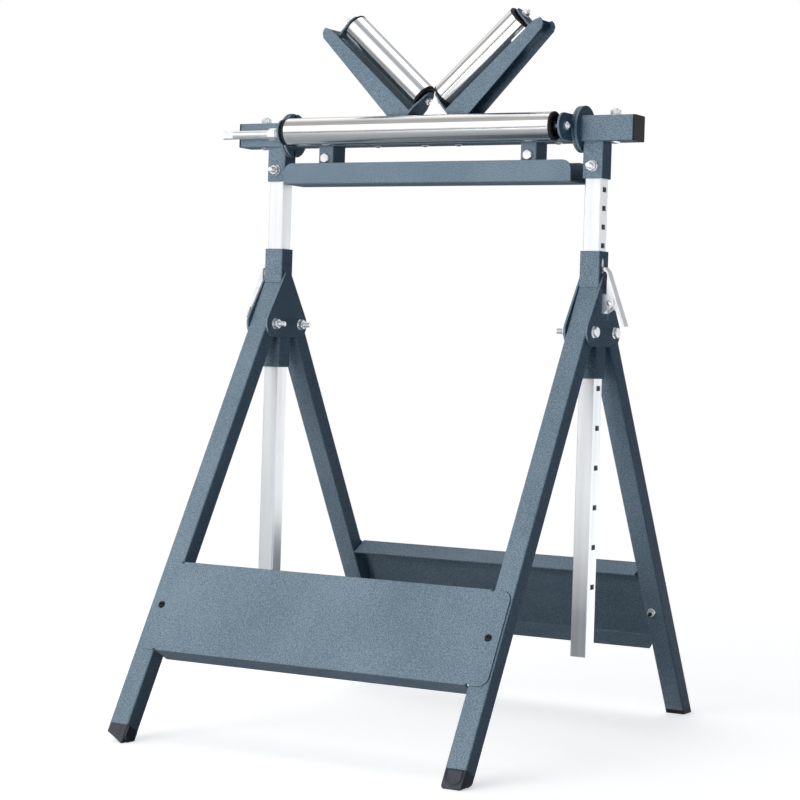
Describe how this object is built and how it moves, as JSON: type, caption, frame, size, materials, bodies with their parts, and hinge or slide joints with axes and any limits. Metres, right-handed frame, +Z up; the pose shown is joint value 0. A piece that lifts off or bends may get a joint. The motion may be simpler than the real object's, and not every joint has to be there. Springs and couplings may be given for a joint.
{
  "type": "roller stand",
  "caption": "Folding roller stand on braced A-frame legs, with height-adjustable posts and a turning head that carries V rollers, a straight roller and a flat rest.",
  "frame": {"origin": "centre of the stand's bounding box, on the floor", "axes": "+X along the beam and the straight roller, away from the index pin; the front, with the straight roller, faces -Y; +Z up"},
  "size_m": [0.6696, 0.7638, 1.0356],
  "materials": {
    "paint": "hammered blue-grey powder coat",
    "zinc": "bright zinc plate",
    "steel": "turned and polished steel",
    "black_plastic": "moulded black plastic",
    "black_steel": "black oxide",
    "rubber": "dark grey rubber",
    "spring_steel": "spring wire"
  },
  "bodies": {
    "base": {"left_sleeve": "paint", "right_sleeve": "paint", "left_gussets": "paint", "right_gussets": "paint", "pivot_bolts": "zinc", "pivot_nuts": "zinc", "pivot_washers": "zinc", "latch_brackets": "zinc", "latch_pins": "zinc"},
    "left_latch": {"left_latch_lever": "zinc", "left_latch_spring": "spring_steel"},
    "right_latch": {"right_latch_lever": "zinc", "right_latch_spring": "spring_steel"},
    "front_legs": {"left_front_leg": "paint", "right_front_leg": "paint", "left_front_foot": "rubber", "right_front_foot": "rubber", "front_panel": "paint", "front_panel_bolts": "black_steel", "front_panel_nuts": "zinc"},
    "rear_legs": {"left_rear_leg": "paint", "right_rear_leg": "paint", "left_rear_foot": "rubber", "right_rear_foot": "rubber", "rear_panel": "paint", "rear_panel_bolts": "black_steel", "rear_panel_nuts": "zinc"},
    "top_frame": {"left_post": "zinc", "right_post": "zinc", "left_post_head": "paint", "right_post_head": "paint", "post_head_bolts": "zinc", "left_end_tube": "paint", "right_end_tube": "paint", "end_caps": "black_plastic", "fixed_discs": "paint", "bearing_blocks": "zinc", "lock_bolts": "zinc", "index_guide": "zinc"},
    "index_pin": {"index_pin": "zinc", "index_spring": "spring_steel"},
    "turning_head": {"left_turning_disc": "paint", "right_turning_disc": "paint", "centre_beam": "paint", "beam_rivets": "zinc", "roller_ears": "paint", "straight_axle": "zinc", "left_v_arm": "paint", "right_v_arm": "paint", "v_axles": "zinc", "flat_rest": "paint", "rest_lugs": "paint", "lug_bolts": "zinc"},
    "straight_roller": {"straight_roller": "steel", "straight_roller_caps": "black_plastic"},
    "left_v_roller": {"left_v_roller": "steel", "left_v_roller_caps": "black_plastic"},
    "right_v_roller": {"right_v_roller": "steel", "right_v_roller_caps": "black_plastic"}
  },
  "joints": [
    {"name": "front_legs_fold", "type": "hinge", "parent": "base", "child": "front_legs", "pos_m": [0.0112, -0.035, 0.5775], "axis": [1, 0, 0], "range_deg": [0, 27.5]},
    {"name": "rear_legs_fold", "type": "hinge", "parent": "base", "child": "rear_legs", "pos_m": [0.0112, 0.035, 0.5775], "axis": [-1, 0, 0], "range_deg": [0, 27.5]},
    {"name": "height_slide", "type": "slide", "parent": "base", "child": "top_frame", "axis": [0, 0, 1], "range_m": [-0.1, 0.444]},
    {"name": "left_latch_tilt", "type": "hinge", "parent": "base", "child": "left_latch", "pos_m": [-0.2778, 0, 0.6184], "axis": [0, -1, 0], "range_deg": [0, 12], "stiffness_Nm_per_rad": 0.4, "springref_deg": -20.05},
    {"name": "right_latch_tilt", "type": "hinge", "parent": "base", "child": "right_latch", "pos_m": [0.3002, 0, 0.6184], "axis": [0, 1, 0], "range_deg": [0, 12], "stiffness_Nm_per_rad": 0.4, "springref_deg": -20.05},
    {"name": "head_turn", "type": "hinge", "parent": "top_frame", "child": "turning_head", "pos_m": [0.0112, -0.003, 0.86], "axis": [1, 0, 0], "continuous": true},
    {"name": "index_pin_pull", "type": "slide", "parent": "top_frame", "child": "index_pin", "axis": [-1, 0, 0], "range_m": [0, 0.0075], "stiffness_N_per_m": 1200, "springref_m": -0.005, "deforming": ["index_spring"]},
    {"name": "straight_roller_spin", "type": "hinge", "parent": "turning_head", "child": "straight_roller", "pos_m": [0.0112, -0.055, 0.86], "axis": [1, 0, 0], "continuous": true},
    {"name": "left_v_roller_spin", "type": "hinge", "parent": "turning_head", "child": "left_v_roller", "pos_m": [-0.0043, -0.003, 0.911], "axis": [-0.7431, 0, 0.6691], "continuous": true},
    {"name": "right_v_roller_spin", "type": "hinge", "parent": "turning_head", "child": "right_v_roller", "pos_m": [0.0267, -0.003, 0.911], "axis": [0.7431, 0, 0.6691], "continuous": true}
  ]
}
